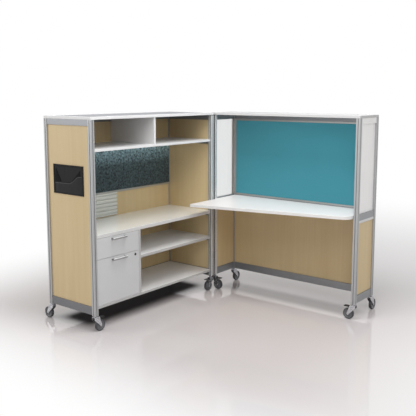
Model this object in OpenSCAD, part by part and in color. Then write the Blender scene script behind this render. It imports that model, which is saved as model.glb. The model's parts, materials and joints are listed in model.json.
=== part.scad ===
// Folding mobile cubicle workstation: a storage unit and a desk unit on swivel casters,
// joined by hinge arms at one corner so that the desk unit closes over the storage unit.
// Millimetres, Z up. The origin is on the floor, in the middle of the open workstation.

/* [Overall] */
// Width of each unit across its posts
unit_w = 1274; // [1200:2:1400]
// Depth of the storage unit across its posts
storage_d = 476; // [450:2:520]
// Depth of the desk unit across its posts
desk_unit_d = 296; // [260:2:320]
// Height of the post tops above the floor
post_top_z = 1415; // [1400:5:1500]
// Height of the post feet above the floor
foot_z = 110; // [109:1:120]
// Gap between the two units where they meet
hinge_space = 17; // [14:0.5:20]

/* [Frame] */
// Width and depth of a corner post
post_s = 30; // [28:1:32]
// Width of the groove in each face of a post or rail
slot_w = 6; // [5.5:0.5:7]
// Depth of the groove
slot_depth = 7; // [6:0.5:7.5]
// Thickness of a rail
rail_t = 25; // [22:1:27]
// Height of the top rails
top_rail_h = 40; // [38:1:55]
// Height of the bottom rails
low_rail_h = 55; // [50:1:62]
// Height of the bottom rails' underside above the post feet
low_rail_lift = 6; // [5:1:12]
// Width of the boards that frame the top
top_frame_w = 40; // [35:1:50]
// Thickness of the boards that frame the top
top_frame_t = 18; // [16:1:22]
// Thickness of the board let into the top
top_infill_t = 10; // [8:1:12]
// Drop of the let-in board below the frame around it
top_infill_drop = 2; // [1:0.5:3]
// Width of the ledge that carries the let-in board
top_ledge = 8; // [5:1:12]

/* [Panels] */
// Thickness of the maple panels
panel_t = 12; // [10:1:14]
// Thickness of the tongue round a panel's edge
tongue_t = 5; // [4:0.25:5.25]
// Reach of the tongue into a groove
tongue_l = 5.5; // [4:0.25:5.75]
// Thickness of a translucent side screen
screen_t = 5; // [4:0.25:5.25]
// Thickness of the fabric board behind the desk
back_board_t = 16; // [12:1:18]
// Width of the frame round the fabric board behind the desk
board_frame_w = 12; // [10:1:16]
// Thickness of the frame round the fabric board
board_frame_t = 20; // [18:1:22]

/* [Storage boards] */
// Distance of the boards' front edges behind the front plane
front_setback = 8; // [6:1:10]
// Thickness of the deck and the overhead shelf
shelf_t = 17; // [16:1:22]
// Thickness of the middle shelf
middle_shelf_t = 20; // [16:1:22]
// Depth of the deck's top below the bottom rails' top
deck_drop = 1; // [0.5:0.5:12]
// Height of the storage worktop's upper face
worktop_z = 655; // [640:1:665]
// Thickness of the storage worktop
worktop_t = 25; // [22:1:28]
// Height of the middle shelf's upper face
middle_shelf_z = 445; // [380:1:460]
// Distance of the overhead shelf's upper face below the post tops
overhead_drop = 192; // [180:1:220]
// Thickness of the overhead divider
divider_t = 18; // [16:1:25]
// Distance from the storage unit's left side to the overhead divider
divider_x = 599; // [500:1:700]
// Width of the drawer stack from the left side to its right upright
drawer_bay_w = 429; // [410:1:440]
// Thickness of the drawer stack's right upright
upright_t = 19; // [18:1:28]
// Thickness of the drawer stack's left side
inner_side_t = 19; // [16:1:20]

/* [Back fittings] */
// Thickness of the dark tackboard
tackboard_t = 12; // [10:1:16]
// Height of the metal strip under the tackboard
tack_trim_h = 14; // [10:1:16]
// Thickness of the metal strip under the tackboard
tack_trim_t = 14; // [12:1:18]
// Distance of the slatwall above the worktop
slat_lift = 8; // [6:1:16]
// Height of the slatwall
slat_h = 172; // [150:1:180]
// Right end of the slatwall from the storage unit's left side
slat_end = 640; // [400:5:800]
// Thickness of the slatwall
slat_t = 15; // [13:1:18]
// Number of grooves in the slatwall
slat_n = 6; // [4:1:6]
// Height of a slatwall groove
slat_gap = 8; // [6:1:10]
// Depth of a slatwall groove
slat_cut = 9; // [7:1:10]

/* [Pocket] */
// Width of the document pocket
pocket_w = 302; // [280:1:340]
// Height of the document pocket
pocket_h = 199; // [180:1:220]
// Depth of the document pocket at its mouth
pocket_d = 12; // [11:1:28]
// Thickness of the pocket's walls
pocket_wall = 2; // [1.5:0.5:3]
// Height of the pocket's front
pocket_front_h = 88; // [70:1:110]
// Distance of the pocket behind the front plane
pocket_y = 90; // [60:1:100]
// Height of the pocket's underside above the floor
pocket_z = 910; // [800:1:1000]

/* [Desk] */
// Height of the desk's upper face
desk_z = 745; // [735:1:747]
// Thickness of the desk
desk_t = 23; // [22:1:28]
// Reach of the desk in front of the desk unit at the hinge side
desk_reach_left = 328; // [250:2:360]
// Reach of the desk in front of the desk unit at the far side
desk_reach_right = 64; // [60:1:120]
// Radius of the desk's far front corner
desk_corner_r = 70; // [40:1:75]
// Gap between the desk and the posts
desk_gap = 3; // [3:0.5:5]
// Set-back of the desk's left edge in front of the unit
desk_step = 12; // [8:1:16]
// Height of the middle rail
mid_rail_h = 46; // [38:1:50]
// Height of the middle rail's upper face
mid_rail_z = 751; // [747:1:755]
// Height of the light channel under the middle rail
mid_cap_h = 18; // [14:1:22]

/* [Drawers] */
// Gap round a drawer front
front_gap = 2; // [1.5:0.5:3]
// Thickness of a drawer front
front_t = 19; // [16:1:20]
// Height of the box drawer's front
box_front_h = 141; // [130:1:150]
// Space behind a drawer tray
tray_space = 26; // [20:1:50]
// Sheet thickness of a tray
tray_wall = 2; // [1.5:0.5:3]
// Height of the box drawer's tray
box_tray_h = 105; // [90:1:110]
// Height of the file drawer's tray
file_tray_h = 228; // [200:1:230]
// Height of a tray's floor above the lower edge of its front
tray_lift = 8; // [6:1:12]
// Space between a tray and the side beside it
runner_gap = 12.7; // [12:0.1:14]
// Height of a drawer runner
runner_h = 36; // [30:1:45]
// Sheet thickness of a runner
runner_wall = 2; // [1.5:0.25:2.25]
// Length of a handle
handle_l = 130; // [110:1:170]
// Height of a handle's bar
handle_h = 14; // [10:1:18]
// Thickness of a handle's bar
handle_t = 8; // [6:1:10]
// Distance of a handle's outer face from the drawer front
handle_reach = 28; // [24:1:34]
// Distance of a handle below the upper edge of its front
handle_drop = 10; // [6:1:16]

/* [Lock] */
// Diameter of the lock's rim
lock_rim_d = 18; // [16:1:20]
// Diameter of the lock's barrel
lock_barrel_d = 14; // [13:0.5:15]
// Diameter of the lock's turning plug
lock_plug_d = 10; // [8:0.5:11]
// Distance of the lock from the right edge of the file drawer's front
lock_inset = 35; // [32:1:38]
// Distance of the lock below the upper edge of the file drawer's front
lock_drop = 23; // [20:1:28]
// Reach of the lock's cam from the plug's axis
cam_l = 42; // [40:0.5:44]

/* [Hinges] */
// Thickness of a hinge arm
arm_t = 4; // [3:0.25:4.5]
// Width of a hinge arm
arm_w = 26; // [22:1:27]
// Diameter of the upper hinge pin
pin_d = 12; // [8:0.5:12.5]
// Length of the upper hinge pin inside the post
pin_l = 45; // [30:1:60]
// Diameter of the bolt that holds the upper arm to the desk unit's post
arm_bolt_d = 8; // [6:0.5:10]
// Length of the bolt inside the post
arm_bolt_l = 30; // [20:1:40]

/* [Casters] */
// Diameter of a wheel
wheel_d = 80; // [78:1:82]
// Width of a wheel
wheel_w = 22; // [18:1:22]
// Distance from the swivel axis to the axle
trail = 38; // [36:1:40]
// Diameter of an axle
axle_d = 6; // [5:0.5:8]
// Sheet thickness of a fork
fork_wall = 2.5; // [2:0.25:3]
// Diameter of a caster's stem
stem_d = 8; // [7:0.5:9]
// Length of a stem inside the post
stem_l = 30; // [24:1:36]
// Diameter of the socket pressed into a post's foot
socket_d = 12; // [11:0.5:12.5]
// Travel of a brake pedal in degrees, used for its shoe's height
brake_travel = 12; // [8:1:12]

/* [Hidden] */
$fn = 64;
overrun = 1;
running = 0.05;
small_gap = 0.3;
joint_gap = 0.2;
board_gap = 1;

// Frame levels
low_rail_z = foot_z + low_rail_lift;
low_rail_top = low_rail_z + low_rail_h;
top_rail_z = post_top_z - top_rail_h;
top_z = post_top_z + top_frame_t;
panel_in = (post_s + panel_t) / 2;
panel_out = (post_s - panel_t) / 2;
rail_in = (post_s + rail_t) / 2;
between_posts = unit_w - 2 * post_s;

// Storage levels and places, from the left side and the front plane of the storage unit
back_face = storage_d - panel_in;
deck_top = low_rail_top - deck_drop;
deck_z = deck_top - shelf_t;
worktop_under = worktop_z - worktop_t;
overhead_shelf_z = post_top_z - overhead_drop;
overhead_under = overhead_shelf_z - shelf_t;
middle_shelf_under = middle_shelf_z - middle_shelf_t;
slat_z = worktop_z + slat_lift;
trim_z = slat_z + slat_h;
tack_z = trim_z + tack_trim_h;
upright_x = drawer_bay_w;
bay_x = upright_x + upright_t;
inner_side_x = post_s + board_gap;
inner_side_end = inner_side_x + inner_side_t;

// Drawer places
front_x = post_s + front_gap;
front_w = upright_x - front_gap - front_x;
box_front_z = worktop_under - front_gap - box_front_h;
file_front_z = deck_top + front_gap;
file_front_h = box_front_z - front_gap - file_front_z;
front_back_y = front_setback + front_t;
tray_l = back_face - tray_space - front_back_y;
tray_x = inner_side_end + runner_gap;
tray_w = upright_x - inner_side_end - 2 * runner_gap;
rib_t = runner_gap - runner_wall - small_gap;
rib_h = runner_h - 2 * runner_wall - 2 * small_gap;
box_runner_z = box_front_z + tray_lift + (box_tray_h - runner_h) / 2;
file_runner_z = file_front_z + tray_lift + (file_tray_h - runner_h) / 2;
handle_leg = handle_h;
lock_x = front_x + front_w - lock_inset;
lock_z = file_front_z + file_front_h - lock_drop;
lock_rim_t = 2;
cam_w = 8;
cam_t = 2;
cam_slot_w = 6;
cam_y = front_back_y + small_gap;
cam_slot_z = lock_z - cam_l;
cam_slot_h = cam_l + cam_w;
cam_slot_x = lock_x + cam_l + cam_w / 2 + board_gap;

// Support angles
angle_leg = 20;
angle_wall = 2;
angle_start = post_s + angle_leg / 2;

// Desk places, from the left side and the front plane of the desk unit
mid_rail_under = mid_rail_z - mid_rail_h;
mid_cap_z = mid_rail_under - mid_cap_h;
desk_x0 = post_s + desk_gap;
desk_x1 = unit_w - desk_x0;
desk_back = desk_unit_d - rail_in;
desk_front_x = desk_x0 + desk_step;
desk_slope = atan((desk_reach_left - desk_reach_right) / (desk_x1 - desk_front_x));
desk_under = desk_z - desk_t;
bracket_leg = 26;

// Hinge levels: the arms turn between the storage unit's post and what lies past its ends
arm_span = post_s + hinge_space;
low_arm_z = foot_z + small_gap;
high_arm_top = post_top_z - small_gap;
high_arm_z = high_arm_top - arm_t;
turning_post_low = low_arm_z + arm_t + small_gap;
turning_post_high = high_arm_z - small_gap;

// Caster places, from the swivel axis with the wheel along +X
wheel_r = wheel_d / 2;
socket_rim_t = 3;
socket_rim_d = 26;
wheel_side_gap = 1;
fork_gap = wheel_w + 2 * wheel_side_gap;
fork_w = fork_gap + 2 * fork_wall;
fork_top_z = foot_z - 2 * socket_rim_t;
fork_back = 17;
fork_front = 24;
fork_heel_h = 20;
fork_boss_r = 9;
axle_head_d = 10;
axle_head_t = 2;
stem_boss_d = 16;
pedal_pin_d = 4;
pedal_pin_x = 10;
pedal_pin_drop = 11;
pedal_t = 7;
pedal_side_gap = 1;
pedal_arm_w = fork_gap - 2 * pedal_side_gap;
pedal_boss_r = 4.5;
pedal_pad_w = fork_w;
pedal_pad_x = 36;
pedal_end_x = 70;
pedal_pad_t = 5;
shoe_x0 = 16;
shoe_x1 = 26;
shoe_gap = 0.6;
hub_r = 9;
dish_r = 27;
dish_depth = 4;
tread_round = 4;
pedal_z = fork_top_z - pedal_pin_drop;
pedal_under = pedal_z - pedal_t + pedal_boss_r / 2;
// The shoe ends just above the wheel when the pedal is down
shoe_z = wheel_r + sqrt(pow(wheel_r, 2) - pow(trail - shoe_x1, 2)) + shoe_gap
         + (shoe_x1 - pedal_pin_x) * tan(brake_travel);

// Row frame: the middle of the open workstation's bounding box, from the hinge axis
row_x_min = post_s - storage_d - trail - wheel_r;
row_x_max = unit_w - post_s + fork_w / 2 + axle_head_t;
row_y_min = post_s / 2 - unit_w - (pocket_d - panel_out);
row_y_max = hinge_space + desk_unit_d + trail + wheel_r;
row_cx = (row_x_min + row_x_max) / 2;
row_cy = (row_y_min + row_y_max) / 2;

// The hinge axis is the axis of the storage unit's post at the corner where the units meet
module at_hinge() {
    translate([-row_cx, -row_cy, 0]) children();
}

// The storage unit's own frame: X to the right along its front, Y to its back
module in_storage() {
    at_hinge() translate([post_s / 2, post_s / 2 - unit_w, 0])
        rotate([0, 0, 90]) children();
}

// The desk unit's own frame, with X to the right along its front, Y to its back
module in_desk() {
    at_hinge() translate([-post_s / 2, post_s / 2 + hinge_space, 0]) children();
}

// Box between two opposite corners
module block(low, high) {
    translate(low) cube(high - low);
}

// Corner post: a square extrusion with a groove in each face, a socket bore at its foot
// and, where a bore diameter is given, a bore at its top
module post(low = foot_z, high = post_top_z, bore_d = 0, bore_l = 0) {
    difference() {
        translate([-post_s / 2, -post_s / 2, low])
            cube([post_s, post_s, high - low]);
        for (turn = [0:90:270])
            rotate([0, 0, turn])
                translate([post_s / 2 - slot_depth, -slot_w / 2, low - overrun])
                    cube([slot_depth + overrun, slot_w, high - low + 2 * overrun]);
        translate([0, 0, foot_z - overrun])
            cylinder(h = stem_l + 3 * overrun + socket_rim_t, d = socket_d + 2 * running);
        if (bore_d > 0)
            translate([0, 0, high - bore_l])
                cylinder(h = bore_l + overrun, d = bore_d + 2 * running);
    }
}

// Places of a unit's four posts
function post_places(depth) = [
    [post_s / 2, post_s / 2],
    [unit_w - post_s / 2, post_s / 2],
    [post_s / 2, depth - post_s / 2],
    [unit_w - post_s / 2, depth - post_s / 2]
];

// A unit's three posts away from the hinge, whose place has the number given
module posts(depth, hinge_place) {
    places = post_places(depth);
    for (i = [0:3])
        if (i != hinge_place)
            translate([places[i][0], places[i][1], 0]) post();
}

// Space kept free round the posts by a board that is notched for them
module post_notches(depth, low, high) {
    for (place = post_places(depth))
        translate([place[0], place[1], (low + high) / 2])
            cube([post_s + 2 * board_gap, post_s + 2 * board_gap,
                  high - low + 2 * overrun], center = true);
}

// Rail along +X, centred on Y, with a groove in the edges that hold a panel
module rail(length, height, groove_below, groove_above) {
    difference() {
        translate([0, -rail_t / 2, 0]) cube([length, rail_t, height]);
        if (groove_below)
            translate([-overrun, -slot_w / 2, -overrun])
                cube([length + 2 * overrun, slot_w, slot_depth + overrun]);
        if (groove_above)
            translate([-overrun, -slot_w / 2, height - slot_depth])
                cube([length + 2 * overrun, slot_w, slot_depth + overrun]);
    }
}

// The left, right and back rails of a unit at one height
module rail_set(depth, z, height, groove_below, groove_above) {
    for (x = [post_s / 2, unit_w - post_s / 2])
        translate([x, post_s, z]) rotate([0, 0, 90])
            rail(depth - 2 * post_s, height, groove_below, groove_above);
    translate([post_s, depth - post_s / 2, z])
        rail(between_posts, height, groove_below, groove_above);
}

// Panel standing along +X with its tongue in the grooves round its opening
module tongued_panel(width, height) {
    translate([0, -panel_t / 2, 0]) cube([width, panel_t, height]);
    translate([-tongue_l, -tongue_t / 2, -tongue_l])
        cube([width + 2 * tongue_l, tongue_t, height + 2 * tongue_l]);
}

module side_place(x) {
    translate([x, post_s, 0]) rotate([0, 0, 90]) children();
}

// Boards round the top with a ledge for the board let into them
module top_ring(depth) {
    inner = top_frame_w - top_ledge;
    difference() {
        for (y = [0, depth - top_frame_w])
            translate([0, y, post_top_z]) cube([unit_w, top_frame_w, top_frame_t]);
        top_recess(depth, inner);
    }
    difference() {
        for (x = [0, unit_w - top_frame_w])
            translate([x, top_frame_w + joint_gap, post_top_z])
                cube([top_frame_w, depth - 2 * (top_frame_w + joint_gap), top_frame_t]);
        top_recess(depth, inner);
    }
}

module top_recess(depth, inner) {
    block([inner, inner, top_z - top_infill_drop - top_infill_t],
          [unit_w - inner, depth - inner, top_z + overrun]);
}

module top_infill(depth) {
    inner = top_frame_w - top_ledge + small_gap;
    block([inner, inner, top_z - top_infill_drop - top_infill_t + joint_gap],
          [unit_w - inner, depth - inner, top_z - top_infill_drop]);
}

// Storage board from the front setback to the back panel, notched for the posts
module storage_board(x0, x1, y1, z, thickness) {
    difference() {
        block([x0, front_setback, z], [x1, y1, z + thickness]);
        post_notches(storage_d, z, z + thickness);
    }
}

// Angle along +X under a board: one leg on the wall at Y = 0, one under the board
module support_angle(length, leg) {
    block([0, 0, -leg], [length, angle_wall, 0]);
    block([0, 0, -angle_wall], [length, leg, 0]);
}

module storage_posts() {
    color("silver") in_storage() posts(storage_d, 1);
    color("silver") at_hinge() post(turning_post_low, turning_post_high, pin_d, pin_l);
}

module storage_rails() {
    color("darkgray") in_storage() {
        rail_set(storage_d, low_rail_z, low_rail_h, false, true);
        rail_set(storage_d, top_rail_z, top_rail_h, true, false);
    }
}

module storage_top_frame() {
    color("white") in_storage() top_ring(storage_d);
}

module storage_top_panel() {
    color("silver") in_storage() top_infill(storage_d);
}

module storage_end_panels() {
    color("burlywood") in_storage()
        for (x = [post_s / 2, unit_w - post_s / 2])
            side_place(x) translate([0, 0, low_rail_top])
                tongued_panel(storage_d - 2 * post_s, top_rail_z - low_rail_top);
}

module storage_back_panel() {
    color("burlywood") in_storage()
        translate([post_s, storage_d - post_s / 2, low_rail_top])
            tongued_panel(between_posts, top_rail_z - low_rail_top);
}

module storage_deck() {
    color("whitesmoke") in_storage()
        storage_board(rail_in, unit_w - rail_in, storage_d - rail_in, deck_z, shelf_t);
}

module storage_worktop() {
    color("ivory") in_storage()
        storage_board(panel_in, unit_w - panel_in, back_face, worktop_under, worktop_t);
}

module overhead_shelf() {
    color("white") in_storage()
        storage_board(panel_in, unit_w - panel_in, back_face, overhead_under, shelf_t);
}

module overhead_divider() {
    color("white") in_storage() difference() {
        block([divider_x, front_setback, overhead_shelf_z],
              [divider_x + divider_t, back_face, post_top_z]);
        // Cut back round the top back rail
        block([divider_x - overrun, storage_d - rail_in, top_rail_z],
              [divider_x + divider_t + overrun, storage_d, post_top_z + overrun]);
    }
}

module middle_shelf() {
    color("whitesmoke") in_storage()
        storage_board(bay_x, unit_w - panel_in, back_face, middle_shelf_under, middle_shelf_t);
}

module pedestal_sides() {
    color("white") in_storage() {
        block([inner_side_x, front_back_y + front_gap, deck_top],
              [inner_side_end, storage_d - rail_in - board_gap, worktop_under]);
        difference() {
            block([upright_x, front_setback, deck_top],
                  [bay_x, storage_d - rail_in - board_gap, worktop_under]);
            // Slot that the lock's cam turns into
            block([upright_x - overrun, cam_y - cam_slot_w / 2, cam_slot_z],
                  [cam_slot_x, cam_y + cam_slot_w, cam_slot_z + cam_slot_h]);
        }
    }
}

module storage_tackboard() {
    color("darkslategray") in_storage()
        block([post_s + board_gap, back_face - tackboard_t, tack_z],
              [unit_w - post_s - board_gap, back_face, overhead_under]);
}

module tackboard_strip() {
    color("silver") in_storage()
        block([post_s + board_gap, back_face - tack_trim_t, trim_z],
              [unit_w - post_s - board_gap, back_face, tack_z]);
}

// Metal slatwall with level grooves for hooks and trays
module slatwall() {
    pitch = slat_h / slat_n;
    color("lightgray") in_storage() difference() {
        block([post_s + board_gap, back_face - slat_t, slat_z],
              [slat_end, back_face, trim_z]);
        for (i = [0:slat_n - 1])
            translate([post_s, back_face - slat_t - overrun,
                       slat_z + (i + 0.5) * pitch - slat_gap / 2])
                cube([slat_end, slat_cut + overrun, slat_gap]);
    }
}

// Pocket with a low front and sides that slope up to its back sheet
module document_pocket() {
    out = panel_out - pocket_d;
    flap_z = pocket_z + pocket_h - (pocket_h - pocket_front_h) / 4;
    color("black") in_storage() {
        block([panel_out - pocket_wall, pocket_y, pocket_z],
              [panel_out, pocket_y + pocket_w, pocket_z + pocket_h]);
        block([out, pocket_y, pocket_z],
              [panel_out, pocket_y + pocket_w, pocket_z + pocket_wall]);
        block([out, pocket_y, pocket_z],
              [out + pocket_wall, pocket_y + pocket_w, pocket_z + pocket_front_h]);
        for (y = [pocket_y + pocket_wall, pocket_y + pocket_w])
            translate([0, y, 0]) rotate([90, 0, 0]) linear_extrude(pocket_wall)
                polygon([[out, pocket_z], [panel_out, pocket_z],
                         [panel_out, flap_z], [panel_out - pocket_wall, flap_z],
                         [out + pocket_wall, pocket_z + pocket_front_h],
                         [out, pocket_z + pocket_front_h]]);
    }
}

// Support angles on the left wall, the right wall and the back wall of the storage unit
module left_angle(x, z) {
    translate([x, storage_d - angle_start, z]) rotate([0, 0, -90])
        support_angle(storage_d - 2 * angle_start, angle_leg);
}

module right_angle(x, z) {
    translate([x, angle_start, z]) rotate([0, 0, 90])
        support_angle(storage_d - 2 * angle_start, angle_leg);
}

module shelf_supports() {
    color("gray") in_storage() {
        right_angle(unit_w - panel_in, worktop_under);
        left_angle(panel_in, overhead_under);
        right_angle(unit_w - panel_in, overhead_under);
        left_angle(bay_x, middle_shelf_under);
        right_angle(unit_w - panel_in, middle_shelf_under);
        left_angle(rail_in, deck_z);
        right_angle(unit_w - rail_in, deck_z);
        translate([unit_w - angle_start - angle_leg, storage_d - rail_in, deck_z])
            rotate([0, 0, 180])
                support_angle(unit_w - 2 * (angle_start + angle_leg), angle_leg);
    }
}

// Channel that a tray's rib runs in, open towards +X
module runner() {
    y0 = front_back_y + front_gap;
    length = tray_l - front_gap;
    block([0, y0, 0], [runner_wall, y0 + length, runner_h]);
    for (z = [0, runner_h - runner_wall])
        block([0, y0, z], [runner_wall + rib_t, y0 + length, z + runner_wall]);
}

module drawer_runners() {
    color("dimgray") in_storage()
        for (z = [box_runner_z, file_runner_z]) {
            translate([inner_side_end, 0, z]) runner();
            translate([upright_x, 0, z]) mirror([1, 0, 0]) runner();
        }
}

// Steel tray behind a drawer front, with a rib on each side for its runner
module tray(z, height, runner_z) {
    difference() {
        block([tray_x, front_back_y, z],
              [tray_x + tray_w, front_back_y + tray_l, z + height]);
        block([tray_x + tray_wall, front_back_y + tray_wall, z + tray_wall],
              [tray_x + tray_w - tray_wall, front_back_y + tray_l - tray_wall,
               z + height + overrun]);
    }
    rib_z = runner_z + runner_wall + small_gap;
    for (x = [tray_x - rib_t, tray_x + tray_w])
        block([x, front_back_y + front_gap, rib_z],
              [x + rib_t, front_back_y + tray_l, rib_z + rib_h]);
}

// Bridge handle centred on a drawer front whose upper edge is at Z
module handle(z) {
    x0 = front_x + (front_w - handle_l) / 2;
    low = z - handle_drop - handle_h;
    block([x0, front_setback - handle_reach, low],
          [x0 + handle_l, front_setback - handle_reach + handle_t, low + handle_h]);
    for (x = [x0, x0 + handle_l - handle_leg])
        block([x, front_setback - handle_reach, low],
              [x + handle_leg, front_setback, low + handle_h]);
}

module box_drawer_front() {
    color("whitesmoke") in_storage()
        block([front_x, front_setback, box_front_z],
              [front_x + front_w, front_back_y, box_front_z + box_front_h]);
}

module box_drawer_tray() {
    color("gray") in_storage()
        tray(box_front_z + tray_lift, box_tray_h, box_runner_z);
}

module box_drawer_handle() {
    color("silver") in_storage() handle(box_front_z + box_front_h);
}

module file_drawer_front() {
    color("whitesmoke") in_storage() difference() {
        block([front_x, front_setback, file_front_z],
              [front_x + front_w, front_back_y, file_front_z + file_front_h]);
        translate([lock_x, front_setback - overrun, lock_z]) rotate([-90, 0, 0])
            cylinder(h = front_t + 2 * overrun, d = lock_barrel_d + 2 * running);
    }
}

module file_drawer_tray() {
    color("gray") in_storage()
        tray(file_front_z + tray_lift, file_tray_h, file_runner_z);
}

module file_drawer_handle() {
    color("silver") in_storage() handle(file_front_z + file_front_h);
}

module lock_place() {
    translate([lock_x, 0, lock_z]) rotate([-90, 0, 0]) children();
}

module lock_barrel() {
    color("black") in_storage() lock_place() difference() {
        union() {
            translate([0, 0, front_setback]) cylinder(h = front_t, d = lock_barrel_d);
            translate([0, 0, front_setback - lock_rim_t])
                cylinder(h = lock_rim_t, d = lock_rim_d);
        }
        translate([0, 0, front_setback - lock_rim_t - overrun])
            cylinder(h = front_t + lock_rim_t + 2 * overrun, d = lock_plug_d + 2 * running);
    }
}

// Turning plug with its key slot and the cam behind the drawer front
module lock_plug() {
    color("darkslategray") in_storage() lock_place() {
        difference() {
            translate([0, 0, front_setback - lock_rim_t])
                cylinder(h = cam_y - front_setback + lock_rim_t, d = lock_plug_d);
            translate([-lock_plug_d / 4, -lock_rim_t / 4, front_setback - lock_rim_t - overrun])
                cube([lock_plug_d / 2, lock_rim_t / 2, lock_rim_t + overrun]);
        }
        translate([-cam_w / 2, -cam_w / 2, cam_y])
            cube([cam_w, cam_l + cam_w / 2, cam_t]);
    }
}

// Flat arm with round ends from the hinge axis to the desk unit's post, with a hole at each end
module arm(z, turning_d, fixed_d) {
    difference() {
        union() {
            block([-arm_w / 2, 0, z], [arm_w / 2, arm_span, z + arm_t]);
            for (y = [0, arm_span])
                translate([0, y, z]) cylinder(h = arm_t, d = arm_w);
        }
        translate([0, 0, z - overrun])
            cylinder(h = arm_t + 2 * overrun, d = turning_d + 2 * running);
        translate([0, arm_span, z - overrun])
            cylinder(h = arm_t + 2 * overrun, d = fixed_d + 2 * running);
    }
}

// The lower arm turns on the storage unit's caster socket, the upper one on the hinge pin
module hinge_arms() {
    color("dimgray") at_hinge() {
        arm(low_arm_z, socket_d, socket_d);
        arm(high_arm_z, pin_d, arm_bolt_d);
    }
}

module hinge_pin() {
    color("gray") at_hinge()
        cylinder_from(turning_post_high - pin_l + small_gap, post_top_z, pin_d);
}

module hinge_arm_bolt() {
    color("gray") at_hinge() translate([0, arm_span, 0])
        cylinder_from(high_arm_z - arm_bolt_l + small_gap, high_arm_top, arm_bolt_d);
}

module desk_posts() {
    color("silver") in_desk() posts(desk_unit_d, 0);
    color("silver") at_hinge() translate([0, arm_span, 0])
        post(low_arm_z + arm_t, high_arm_z, arm_bolt_d, arm_bolt_l);
}

module desk_rails() {
    color("darkgray") in_desk() {
        rail_set(desk_unit_d, low_rail_z, low_rail_h, false, true);
        rail_set(desk_unit_d, mid_cap_z, mid_cap_h - joint_gap, true, false);
        rail_set(desk_unit_d, mid_rail_under, mid_rail_h, false, true);
        rail_set(desk_unit_d, top_rail_z, top_rail_h, true, false);
    }
}

module desk_unit_top() {
    color("whitesmoke") in_desk() {
        top_ring(desk_unit_d);
        top_infill(desk_unit_d);
    }
}

module desk_lower_panels() {
    height = mid_cap_z - low_rail_top;
    color("burlywood") in_desk() {
        for (x = [post_s / 2, unit_w - post_s / 2])
            side_place(x) translate([0, 0, low_rail_top])
                tongued_panel(desk_unit_d - 2 * post_s, height);
        translate([post_s, desk_unit_d - post_s / 2, low_rail_top])
            tongued_panel(between_posts, height);
    }
}

module desk_side_screens() {
    color("white", 0.6) in_desk()
        for (x = [post_s / 2, unit_w - post_s / 2])
            side_place(x)
                block([-tongue_l, -screen_t / 2, mid_rail_z - tongue_l],
                      [desk_unit_d - 2 * post_s + tongue_l, screen_t / 2,
                       top_rail_z + tongue_l]);
}

module desk_tackboard() {
    y = desk_unit_d - post_s / 2;
    color("cadetblue") in_desk()
        block([post_s + board_frame_w, y - back_board_t / 2, mid_rail_z + board_frame_w],
              [unit_w - post_s - board_frame_w, y + back_board_t / 2,
               top_rail_z - board_frame_w]);
}

// Four bars round the fabric board, each with a tongue in the groove outside it
module desk_tackboard_frame() {
    y = desk_unit_d - post_s / 2;
    x1 = unit_w - post_s;
    color("linen") in_desk() {
        for (z = [mid_rail_z, top_rail_z - board_frame_w]) {
            block([post_s, y - board_frame_t / 2, z],
                  [x1, y + board_frame_t / 2, z + board_frame_w]);
            tongue_z = z == mid_rail_z ? z - tongue_l : z + board_frame_w - overrun;
            block([post_s, y - tongue_t / 2, tongue_z],
                  [x1, y + tongue_t / 2, tongue_z + tongue_l + overrun]);
        }
        for (x = [post_s, x1 - board_frame_w]) {
            block([x, y - board_frame_t / 2, mid_rail_z + board_frame_w],
                  [x + board_frame_w, y + board_frame_t / 2, top_rail_z - board_frame_w]);
            tongue_x = x == post_s ? x - tongue_l : x + board_frame_w - overrun;
            block([tongue_x, y - tongue_t / 2, mid_rail_z + board_frame_w],
                  [tongue_x + tongue_l + overrun, y + tongue_t / 2,
                   top_rail_z - board_frame_w]);
        }
    }
}

// Desk outline: a front edge that slants back to a round corner at the far side
module desk_outline() {
    corner_x = desk_x1 - desk_corner_r;
    corner_y = -desk_reach_left + (corner_x - desk_front_x) * tan(desk_slope)
               + desk_corner_r / cos(desk_slope);
    polygon([
        [desk_front_x, -desk_reach_left],
        [corner_x + desk_corner_r * sin(desk_slope), corner_y - desk_corner_r * cos(desk_slope)],
        [corner_x, corner_y],
        [desk_x1, corner_y],
        [desk_x1, desk_back],
        [desk_x0, desk_back],
        [desk_x0, 0],
        [desk_front_x, 0]
    ]);
    translate([corner_x, corner_y]) circle(r = desk_corner_r);
}

module desk_surface() {
    color("white") in_desk()
        translate([0, 0, desk_under]) linear_extrude(desk_t) desk_outline();
}

module desk_brackets() {
    length = desk_unit_d - 2 * angle_start;
    color("gray") in_desk() {
        translate([rail_in, desk_unit_d - angle_start, desk_under]) rotate([0, 0, -90])
            support_angle(length, bracket_leg);
        translate([unit_w - rail_in, angle_start, desk_under]) rotate([0, 0, 90])
            support_angle(length, bracket_leg);
        translate([unit_w - angle_start - bracket_leg, desk_unit_d - rail_in, desk_under])
            rotate([0, 0, 180])
                support_angle(unit_w - 2 * (angle_start + bracket_leg), bracket_leg);
    }
}

// Socket pressed into a post's foot, with a rim that the post stands on
module socket() {
    difference() {
        union() {
            translate([0, 0, foot_z - socket_rim_t])
                cylinder(h = socket_rim_t, d = socket_rim_d);
            translate([0, 0, foot_z - overrun])
                cylinder(h = stem_l + socket_rim_t + overrun, d = socket_d);
        }
        translate([0, 0, foot_z - socket_rim_t - overrun])
            cylinder(h = stem_l + 2 * overrun + socket_rim_t, d = stem_d + 2 * running);
    }
}

module storage_caster_sockets() {
    color("silver") in_storage()
        for (place = post_places(storage_d)) translate([place[0], place[1], 0]) socket();
}

module desk_caster_sockets() {
    color("silver") in_desk()
        for (place = post_places(desk_unit_d)) translate([place[0], place[1], 0]) socket();
}

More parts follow.
